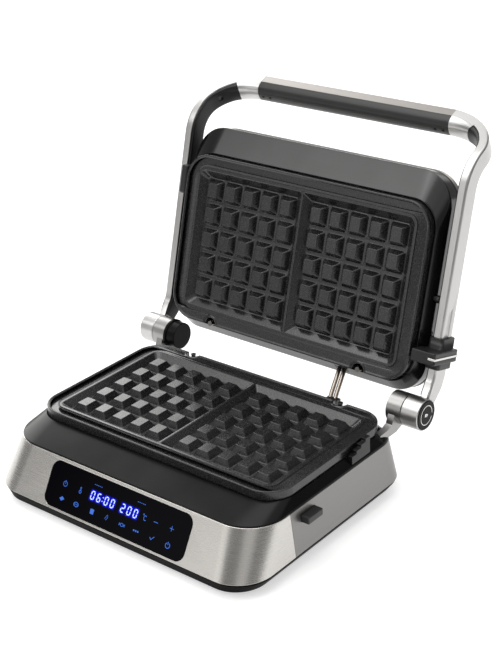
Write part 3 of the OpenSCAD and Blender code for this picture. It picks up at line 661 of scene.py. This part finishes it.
def plate_outline(g, n=14, m=14):
    """Rounded plate outline, with the two pin notches in its hinge edge."""
    x, y, r = PLATE_W - g, PLATE_D - g, PLATE_R - g
    mouth = PLATE_D - 0.5
    back = []
    for cx in (NOTCH_X, -NOTCH_X):
        rr = NOTCH_R + g
        a = math.degrees(math.asin(max(-1, min(1, (y - mouth) / rr))))
        half = rr * cs(a)
        back += [(cx + half + NOTCH_FLARE, y), (cx + half + NOTCH_FLARE * 0.35, y - 0.12 * NOTCH_FLARE)]
        back += arc(cx, mouth, rr, a, m, -180 - 2 * a)
        back += [(cx - half - NOTCH_FLARE * 0.35, y - 0.12 * NOTCH_FLARE), (cx - half - NOTCH_FLARE, y)]
    return (arc(x - r, y - r, r, 0, n) + back + arc(r - x, y - r, r, 90, n)
            + arc(r - x, r - y, r, 180, n) + arc(x - r, r - y, r, 270, n))


def cavity_outline(side, k, r):
    """Outline of a half's cavity, k mm out from its floor."""
    x0, x1, d = 8.2 - k, 121.5 + k, 62.6 + k
    pts = outline(((x1 - x0) / 2, -d, d, r, r), 0, 8)
    cx = (x0 + x1) / 2
    out = []
    for i, (px, py) in enumerate(pts):
        # The corners next to the divider are tight
        if px < 0:
            sx = -(x1 - x0) / 2
            sy = math.copysign(d, py)
            rr = min(r, 2.0)
            ax, ay = sx + r, sy - math.copysign(r, py)
            bx, b_y = sx + rr, sy - math.copysign(rr, py)
            px, py = bx + (px - ax) * rr / r, b_y + (py - ay) * rr / r
        out.append((side * (cx + px), py))
    return out if side > 0 else out[::-1]


def block_rings(s, cx, cy):
    """A block of the grid: rounded foot, sloping sides, softened top."""
    rings = []
    for k, z in ((0.9, FLOOR_Z), (0.35, -6.35), (0.0, -5.95)):
        rings.append(s.flat(rrect(FOOT_W + 2 * k, FOOT_D + 2 * k, 2.2 + k, 3, cx, cy), z))
    for f, k, z in ((0.055, 0, -0.42), (0.02, 0.03, -0.14), (0.0, 0.16, -0.03), (0.0, 0.40, 0.0)):
        w, d = CROWN_W + 8.2 * f, CROWN_D + 7.5 * f
        rings.append(s.flat(rrect(w - 2 * k, d - 2 * k, max(1.1 - k * 0.6, 0.5), 3, cx, cy), z))
    return rings


def waffle_plate():
    s = Shape()
    rings = [s.flat(plate_outline(g), z) for g, z in LIP_PROFILE]
    s.loft(rings, caps=False)
    # A shallow channel falls from the lip to a narrow flat ridge round the cavities
    channel = [s.flat(rrect(2 * x, 2 * y, r, 8), z) for x, y, r, z in CHANNEL]
    s.fill(rings[-1], [channel[0]])
    s.loft(channel, caps=False)
    holes = []
    for side in (1, -1):
        loops = [s.flat(cavity_outline(side, k, r), z) for k, r, z in CAVITY_WALL]
        s.loft(loops, caps=False)
        holes.append(loops[0])
        feet = []
        for i in range(5):
            for j in range(-2, 3):
                b = block_rings(s, side * (BLOCK_X0 + i * PITCH_X), j * PITCH_Y)
                s.loft(b, caps=False)
                s.cap(b[-1])
                feet.append(b[0])
        s.fill(loops[-1], feet)
    s.fill(channel[-1], holes)
    # Underside: skirt, web and the tub that carries the pattern
    inner = s.flat(plate_outline(3.0), -3.0)
    s.bridge(rings[0], inner)
    tub = s.flat(rrect(252, 134, 8), -3.0)
    low = s.flat(rrect(250, 132, 7.5), -9.0)
    s.fill(inner, [tub])
    s.bridge(tub, low)
    s.cap(low)
    return s


PLATE_SHAPE = waffle_plate()
for half, place in (("lower", BASE), ("upper", LIDP @ Matrix.Scale(-1, 4, (0, 0, 1)))):
    piece(half + "_waffle_plate", PLATE_SHAPE, place, NONSTICK, half + "_plate", (half + "_plate",),
          sharp=60)

# ---------------------------------------------------------------- lid shells
PIVOT_A, PIVOT_B = 104.0, 19.0
s = Shape()
s.loft(s.stack(((BEZEL_IN, 0, 9.6), (BEZEL_IN, 0, 7.5), (BEZEL_IN, -1.2, 7.5), (LID_EDGE, 0.2, 19.6),
                (LID_EDGE, 0.1, 21.2), (LID_SIDE, 0.1, 35.9), (LID_SIDE, 2.4, 35.9),
                (LID_EDGE, 2.5, 22.0))), closed=True)
lid_frame = piece("lid_frame_moulding", s, LIDP, GLOSS, "lid", ("lid_frame",), 0.6, 3, 28)
s = Shape()
outer = s.stack(((LID_SIDE, -0.5, 36.1), (LID_SIDE, -0.5, 40.8), (LID_SIDE, -0.1, 42.8),
                 (LID_SIDE, 1.0, 44.6), (LID_TOP, 0, 45.7), (LID_TOP, 2.0, 46.0)))
s.loft(outer, caps=False)
s.cap(outer[-1])
inner = s.stack(((LID_SIDE, 0.7, 36.1), (LID_SIDE, 1.2, 42.0), (LID_TOP, 2.0, 44.8)))
s.bridge(inner[0], outer[0])
s.loft(inner, caps=False)
s.cap(inner[-1])
piece("lid_cover_steel", s, LIDP, STEEL_LID, "lid", ("lid_cover",), sharp=50)
# Openings in the frame for the button, the conduits and the pivots
cut(lid_frame, prism(rrect(14, 30.6, 1.5, 3, -152.5, HINGE_DY - 160.5), 2.6, 11.2), LIDP)
cut(lid_frame, prism(rrect(15, 9.2, 1.0, 2, 66, 91.6), 9.0, 15.6), LIDP)
for sx in (-1, 1):
    cut(lid_frame, rod(sx * 150 - 8, sx * 150 + 8, 2.6, HINGE_DY - PIVOT_A, PIVOT_B, 24), LIDP)

# ---------------------------------------------------------------- arms and handle
ARM_X, BARREL_X, ARM_T, ARM_D, ARM_MID = 167.6, 171.8, 9.0, 19.6, 23.4
RISE, RISE_A, ARC_R = 27.0, 22.6, 30.0
BEND_AT, BEND_R, BEND, CORNER_X, CORNER_Z = 206.3, 37.6, 52.0, 59.0, 48.0
BAR_W, BAR_D, RAIL_W, GRIP_HALF, LINER = 20.5, 21.6, 11.0, 113.4, 1.6
LINER_END, SCREW_TURN = 50, 20


def stations():
    """Along, back, tilt and depth, from inside the barrel to the end of the bend."""
    rise_b = ARM_MID - ARC_R * (1 - cs(RISE))
    out = [(-4, 7, RISE, 12), (9.3, (7 + rise_b) / 2, RISE, 15.2), (RISE_A, rise_b, RISE, ARM_D)]
    for t in [RISE * (10 - k) / 10 for k in range(1, 11)]:
        out.append((RISE_A + ARC_R * (sn(RISE) - sn(t)), rise_b + ARC_R * (cs(t) - cs(RISE)), t, ARM_D))
    out += [(a, ARM_MID, 0, ARM_D) for a in (60, 90, 120, 160, BEND_AT)]
    for t in [BEND * k / 12 for k in range(1, 13)]:
        out.append((BEND_AT + BEND_R * sn(t), ARM_MID + BEND_R * (1 - cs(t)), t, ARM_D))
    return out


def bow(t, power):
    return math.copysign(abs(t) ** power, t)


def arm_section(w, d, flat):
    """Section of an arm: u across from its outer face, v in depth. Flat sides, then a bowed inner side."""
    h, r = d / 2, 2.4
    pts = [(-r + r * cs(18 * i), h - r + r * sn(18 * i)) for i in range(6)]
    pts += [(-flat + 0.3, h), (-flat, h - 0.25)]
    pts += [(-flat - (w - flat) * bow(cs(t), 0.85), (h - 0.6) * bow(sn(t), 0.92))
            for t in range(78, -79, -13)]
    pts += [(-flat, 0.25 - h), (-flat + 0.3, -h)]
    return pts + [(-r + r * cs(18 * i - 90), r - h + r * sn(18 * i - 90)) for i in range(6)]


def arm_point(st, u, v):
    return (ARM_X + u, -(st[0] - v * sn(st[2])), st[1] + v * cs(st[2]))


def corner_point(turn, run, u, v):
    a0, b0 = BEND_AT + BEND_R * sn(BEND), ARM_MID + BEND_R * (1 - cs(BEND))
    reach = (CORNER_Z + u) * sn(turn)
    x = ARM_X - CORNER_X + (CORNER_X + u) * cs(turn) - run
    return (x, -(a0 + reach * cs(BEND) - v * sn(BEND)), b0 + reach * sn(BEND) + v * cs(BEND))


def corner(turn):
    """Thickness, depth and width of the flat side round the handle's corner."""
    m = smooth(turn / 90)
    thin = ARM_T + LINER
    return thin + (BAR_W - thin) * m, ARM_D + (BAR_D - ARM_D) * m, ARM_T + 0.4 + (RAIL_W - ARM_T - 0.4) * m


def arm_shape():
    s = Shape()
    thin = ARM_T - 0.5
    rings = [s.ring([arm_point(st, u, v) for u, v in arm_section(ARM_T, st[3], thin)]) for st in stations()]
    for turn in range(5, LINER_END + 1, 5):
        around = arm_section(ARM_T, corner(turn)[1], thin)
        rings.append(s.ring([corner_point(turn, 0, u, v) for u, v in around]))
    for turn in (LINER_END + 0.2, 55, 60, 65, 70, 75, 80):
        w, d, flat = corner(turn)
        rings.append(s.ring([corner_point(turn, 0, u, v) for u, v in arm_section(w, d, flat)]))
    run = ARM_X - CORNER_X - GRIP_HALF - 0.1
    rings.append(s.ring([corner_point(90, run, u, v) for u, v in arm_section(BAR_W, BAR_D, RAIL_W)]))
    return s.loft(rings)


FLIP = Matrix.Scale(-1, 4, (1, 0, 0))
for sx, name, x0 in ((1, "right", 153.15), (-1, "left", 154.65)):
    place = LID if sx > 0 else LID @ FLIP
    arm = piece("arm_sweep_" + name, arm_shape(), place, ALU, "arms", ("arm_" + name,),
                sharp=32)
    cut(arm, rod(x0, BARREL_X, 15.2, edge=0.9, n=72), place, "UNION")
    cut(arm, rod(150, 165 if sx > 0 else 167, 5.05, n=48), place)
    if sx > 0:
        cut(arm, rod(164.5, 180, 14.3, n=72), place)
        s = Shape()
        slot = rrect(44, 1.6, 0.75, 3, -75, ARM_MID + 1)
        s.loft([s.ring([(x, p[0], p[1]) for p in slot]) for x in (ARM_X - 8, ARM_X + 3)])
        cut(arm, s, place)


def liner_section(w, v0, v1, power):
    """Section of a liner: flat on the arm's metal, bowed on its free side."""
    mid, half, root = (v0 + v1) / 2, (v1 - v0) / 2, ARM_T + 0.06
    turns = [11.5 * i - 86.25 for i in range(16)]
    return ([(-root, v1), (-root, v0)]
            + [(-root - (w - root) * bow(cs(t), power), mid + half * bow(sn(t), 0.92)) for t in turns])


# Black liners inside the arms
for sx, name in ((1, "right"), (-1, "left")):
    place = LID if sx > 0 else LID @ FLIP
    line = stations()
    s = Shape()
    start = [p * 0.4 + q * 0.6 for p, q in zip(line[0], line[2])]
    rings = [s.ring([arm_point(start, u, v) for u, v in liner_section(ARM_T + LINER, -6, 7.4, 0.2)])]
    along = liner_section(ARM_T + LINER, 2 - ARM_D / 2, ARM_D / 2 - 0.3, 0.2)
    rings += [s.ring([arm_point(st, u, v) for u, v in along]) for st in line[2:]]
    for turn in (5, 10, 15, 20, 25, 30, 35, 40, 45, LINER_END - 0.2):
        w, d = corner(turn)[:2]
        k = smooth(turn / LINER_END)
        rings.append(s.ring([corner_point(turn, 0, u, v)
                             for u, v in liner_section(w, 2 - k - d / 2, d / 2 - 0.3, 0.2 + 0.55 * k)]))
    s.loft(rings)
    liner = piece("arm_liner_" + name, s, place, LINING, "arms", ("arm_cover_" + name,),
                  sharp=50)
    screw = (Matrix.Translation(corner_point(SCREW_TURN, 0, -ARM_T, 0))
             @ Matrix.Rotation(math.radians(-BEND), 4, "X")
             @ Matrix.Rotation(math.radians(-SCREW_TURN), 4, "Z"))
    cut(liner, rod(-9, 0.9, 2.3, n=32), place @ screw)
    cut(liner, rod(150, 159, 2.6, -PIVOT_A, PIVOT_B, 32), place)

# Handle bar: flat metal rail outside, rounded black grip inside
section = arm_section(BAR_W, BAR_D, RAIL_W)
rail_pts = section[:7] + section[-7:]
grip_pts = [(-RAIL_W - 0.1, BAR_D / 2)] + section[8:21] + [(-RAIL_W - 0.1, -BAR_D / 2)]


def along_bar(pts, half, edge):
    s = Shape()
    cu = sum(p[0] for p in pts) / len(pts)
    rings = []
    for x, k in ((-half, 1 - edge), (-half + 0.25, 1 - edge * 0.3), (-half + 0.7, 1),
                 (half - 0.7, 1), (half - 0.25, 1 - edge * 0.3), (half, 1 - edge)):
        rings.append(s.ring([(x, *corner_point(90, 0, cu + (u - cu) * k, v * k)[1:]) for u, v in pts]))
    return s.loft(rings)


def bar_disc(x, v, prof, n=24):
    """Turned shape standing on the bar's inner side. prof gives its radius at each u."""
    s = Shape()
    return s.loft([s.ring([(x + r * cs(360 * k / n), *corner_point(90, 0, u, v + r * sn(360 * k / n))[1:])
                           for k in range(n)]) for u, r in prof])


piece("grip_rail_strip", along_bar(rail_pts, GRIP_HALF, 0.03), LID, RAIL, "arms", ("grip_rail",),
      sharp=35)
grip = piece("grip_sleeve", along_bar(grip_pts, GRIP_HALF, 0.04), LID, GRIP, "arms", ("handle_grip",),
             sharp=60)
# Depth under the grip's surface, radius
SCREW_HEAD = ((1.5, 1.8), (0.75, 1.8), (0.6, 1.6), (0.6, 0.9), (1.1, 0.7))
for sx in (-1, 1):
    for i, d in enumerate((6, 15)):
        x = sx * (GRIP_HALF - d)
        cut(grip, bar_disc(x, 0.5, ((-BAR_W - 2, 1.9), (-BAR_W + 1.6, 1.9))), LID)
        head = bar_disc(x, 0.5, [(u - BAR_W, r) for u, r in SCREW_HEAD])
        piece("grip_screw_%s%d" % ("l" if sx < 0 else "r", i), head, LID, SCREW, "arms", ("grip_screws",),
              sharp=35)

# ---------------------------------------------------------------- parts refined from their CAD solids
refined("hinge_knuckle_right", "hinge_bracket_right", BARREL, "base", 0.8)
refined("hinge_knuckle_left", "hinge_bracket_left", BARREL, "base", 0.8)
refined("hinge_cap_left", "pivot_cap_left", CAP, "base", 0.9)
refined("rear_cord_gland", "cord_gland", BLACK, "base", 0.4)
refined("base_grommet", "conduit_grommet", BLACK, "base", 0.5)
refined("lid_conduit_grommet", "lid_grommet", BLACK, "lid", 0.4)
refined("feet", "rubber_feet", RUBBER, "base", 0.8)
refined("tray_screws", "base_screws", PLAIN, "base", 0.25)
refined("liner_screws", "cover_screws", SCREW, "arms", 0.3)
refined("pivot_pin_left", "lid_pivot_left", SCREW, "arms", 0.3)
refined("pivot_pin_right", "lid_pivot_right", SCREW, "arms", 0.3)
refined("plate_pins_lower", "lower_plate_pins", PIN, "base", 0.35)
refined("plate_pins_upper", "upper_plate_pins", PIN, "lid", 0.35)
refined("height_steps", "height_rack", RACK, "base", 0.35)
refined("clip_line", "clip_trim", TRIM, "height_clip", 0.3)
refined("button_lower", "lower_button", BLACK, "lower_button", 1.0)
refined("button_upper", "upper_button", BLACK, "upper_button", 2.6)
refined("release_face", "release_disc", CAP, "hinge_release", 0.5)


# Height clip: a sleeve round the arm with a flange that lands on the rack
def arm_block(x0, x1, b0, b1, a0, a1, r, edge=0.0):
    """Block along the arm, from a0 to a1, with corners of radius r and softened ends."""
    s = Shape()
    ends = ((a0, edge), (a0 + edge * 0.3, edge * 0.3), (a0 + edge, 0),
            (a1 - edge, 0), (a1 - edge * 0.3, edge * 0.3), (a1, edge)) if edge else ((a0, 0), (a1, 0))
    mid_x, mid_b = (x0 + x1) / 2, (b0 + b1) / 2
    return s.loft([s.ring([(p[0], -a, p[1])
                           for p in rrect(x1 - x0 - 2 * k, b1 - b0 - 2 * k, r - k, 5, mid_x, mid_b)])
                   for a, k in ends])


SLEEVE_B, BORE_B = ARM_D / 2 + 2, ARM_D / 2 + 0.3
clip = piece("clip_body", arm_block(155.1, 170.6, ARM_MID - SLEEVE_B, ARM_MID + SLEEVE_B, 40, 70, 3.2, 1.0),
             LID, BLACK, "height_clip", ("height_clip",), sharp=40)
cut(clip, arm_block(152.8, 175.1, -7, 35, 48, 59.5, 2.2, 0.8), LID, "UNION")
cut(clip, arm_block(149.5, 172, -7, 11, 48.02, 59.48, 1.5, 0.8), LID, "UNION")
cut(clip, arm_block(156.7, 167.9, ARM_MID - BORE_B, ARM_MID + BORE_B, 30, 80, 1.0), LID)
cut(clip, arm_block(173.6, 177, -9, 40, 52.5, 54.9, 0.4), LID)
cut(clip, arm_block(168, 177, -9, -6.2, 52.5, 54.9, 0.4), LID)

# Ring and lock sign on the release disc
face_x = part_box("release_disc")[1].x * 1000
ring = arc(0, 0, 9.7, 100, 64, 340) + arc(0, 0, 9.0, 100, 64, 340)[::-1]
lock = [(-1.5, -2.6), (1.5, -2.6), (1.5, 0.2), (-1.5, 0.2)]
hoop = arc(0, 0.2, 1.35, 0, 12, 180) + arc(0, 0.2, 0.75, 180, 12, -180)
s = Shape()
for pts in (ring, lock, [(p[0], p[1] * 1.5) for p in hoop]):
    s.loft([s.ring([(x, p[0], p[1]) for p in pts]) for x in (face_x - 0.05, face_x + 0.06)])
piece("release_mark", s, LID, TRIM, "hinge_release", ())

# ---------------------------------------------------------------- wire conduits from base to lid
low, high = BASE @ Vector((0, 93.5, -12)), LID @ Vector((0, -16.2, 13))
TUBE_R = 0.0022
legs = (low, low + Vector((0, 0.0030, 0.0052)), high - Vector((0, 0.0085, 0.0079)), high)


def conduit_at(t):
    u = 1 - t
    return u ** 3 * legs[0] + 3 * t * u ** 2 * legs[1] + 3 * t * t * u * legs[2] + t ** 3 * legs[3]


s = Shape()
for k in (-1, 1):
    rings = []
    for i in range(29):
        t = i / 28
        p, d = conduit_at(t), (conduit_at(t + 0.01) - conduit_at(t - 0.01)).normalized()
        x = 0.074 - 0.008 * t + 0.0028 * k
        side = Vector((0, d.z, -d.y)) * TUBE_R
        rings.append(s.ring([(x + TUBE_R * cs(a), *(p + side * sn(a))[1:]) for a in range(0, 360, 20)]))
    s.loft(rings)
tube = piece("wire_conduits", s, Matrix.Identity(4), TUBE, None, ("wire_conduit",), sharp=60)
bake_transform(tube)

# ---------------------------------------------------------------- CAD nodes that stay
STEEL_NODES = ("hinge_shaft_left", "hinge_shaft_right", "clip_pin", "lower_latch", "upper_latch",
               "lower_button_spring", "upper_button_spring", "release_stem", "release_spring")
INNER_NODES = ((LED, ("led_display",)), (BOARD, ("display_board", "power_board")),
               (REFLECTOR, ("lower_reflector", "upper_reflector")),
               (HEATER, ("lower_heater", "upper_heater")),
               (CERAMIC, ("lower_thermostat", "upper_thermostat")), (PLAIN, STEEL_NODES))
for mat, names in INNER_NODES:
    for node in names:
        NODES[node].data.materials.clear()
        NODES[node].data.materials.append(mat)

# ---------------------------------------------------------------- floor, light and camera
s = Shape()
NEAR_EDGE, FAR_EDGE = 1.5, 3.6
s.f.append(tuple(s.ring([(-FAR_EDGE, -NEAR_EDGE, 0), (NEAR_EDGE, -NEAR_EDGE, 0), (NEAR_EDGE, FAR_EDGE, 0),
                         (-FAR_EDGE, FAR_EDGE, 0)])))
FLOOR, nt, b = new_mat("pale_floor", (0.62, 0.62, 0.62), 0.65)
cloud = noise(nt, coords(nt, (3, 3, 3)), 1.0, 2.0)
tone = two(nt, remap(nt, cloud, 0, 1), (0.61, 0.61, 0.61), (0.63, 0.63, 0.63))
nt.links.new(tone, b.inputs["Base Color"])
b.inputs["Emission Color"].default_value = (1, 1, 1, 1)
b.inputs["Emission Strength"].default_value = 0.55
mesh = bpy.data.meshes.new("floor")
mesh.from_pydata(s.v, [], s.f)
mesh.materials.append(FLOOR)
floor = bpy.data.objects.new("floor", mesh)
scene.collection.objects.link(floor)

world = bpy.data.worlds.new("studio")
scene.world = world
world.use_nodes = True
nt = world.node_tree
nt.nodes.clear()
tc = nt.nodes.new("ShaderNodeTexCoord")
total = None


def lobe(az, el, wide, soft, level):
    """Soft-edged patch of light: az from the front towards +X, el up, half angle, soft edge, level."""
    global total
    d = nt.nodes.new("ShaderNodeVectorMath")
    d.operation = "DOT_PRODUCT"
    d.inputs[1].default_value = (sn(az) * cs(el), -cs(az) * cs(el), sn(el))
    nt.links.new(tc.outputs["Generated"], d.inputs[0])
    r = nt.nodes.new("ShaderNodeMapRange")
    r.interpolation_type = "SMOOTHSTEP"
    r.inputs["From Min"].default_value = cs(wide + soft)
    r.inputs["From Max"].default_value = cs(wide)
    r.inputs["To Min"].default_value = 0
    r.inputs["To Max"].default_value = level
    nt.links.new(d.outputs["Value"], r.inputs["Value"])
    if total is None:
        total = r.outputs[0]
    else:
        a = nt.nodes.new("ShaderNodeMath")
        a.operation = "ADD"
        nt.links.new(total, a.inputs[0])
        nt.links.new(r.outputs[0], a.inputs[1])
        total = a.outputs[0]


lobe(0, 90, 30, 25, 0.9)         # overhead
lobe(-40, 42, 8, 9, 3.0)         # key, front left
lobe(-26, 12, 9, 8, 1.1)         # low box in front
lobe(-117, 27, 14, 6, 5.0)       # bright backdrop behind on the left
lobe(-161, 25, 12, 12, 1.7)      # dimmer backdrop behind
lobe(42, 30, 9, 12, 0.5)         # second box on the front right
base_level = nt.nodes.new("ShaderNodeMath")
base_level.operation = "ADD"
nt.links.new(total, base_level.inputs[0])
base_level.inputs[1].default_value = 0.25
bg = nt.nodes.new("ShaderNodeBackground")
bg.inputs["Color"].default_value = (1.0, 0.992, 0.98, 1)
nt.links.new(base_level.outputs[0], bg.inputs["Strength"])
out = nt.nodes.new("ShaderNodeOutputWorld")
nt.links.new(bg.outputs[0], out.inputs[0])


def softbox(name, at, to, w, h, power):
    light = bpy.data.lights.new(name, "AREA")
    light.shape = "RECTANGLE"
    light.size, light.size_y, light.energy = w, h, power
    o = bpy.data.objects.new(name, light)
    o.location = at
    o.rotation_euler = (Vector(to) - Vector(at)).to_track_quat("-Z", "Y").to_euler()
    scene.collection.objects.link(o)


softbox("top_light", (-0.3, -0.2, 2.2), (0, 0, 0.1), 1.6, 1.6, 20)

cam = bpy.data.cameras.new("camera")
cam.lens, cam.sensor_width, cam.sensor_fit = 76.6, 36, "AUTO"
cam.clip_start, cam.clip_end = 0.05, 30
camera = bpy.data.objects.new("camera", cam)
az, el, roll = 39.844, 25.571, -2.466
CAMERA_AT = Vector((0.7845, -0.8738, 0.6401))        # from the lower plate
back = Vector((sn(az) * cs(el), -cs(az) * cs(el), sn(el)))
right0 = Vector((cs(az), sn(az), 0))
up0 = back.cross(right0)
right = cs(roll) * right0 + sn(roll) * up0
up = cs(roll) * up0 - sn(roll) * right0
m = Matrix((right, up, back)).transposed().to_4x4()
m.translation = PLATE + CAMERA_AT
camera.matrix_world = m
scene.collection.objects.link(camera)
scene.camera = camera
scene.view_settings.view_transform = "Standard"
scene.view_settings.look = "None"
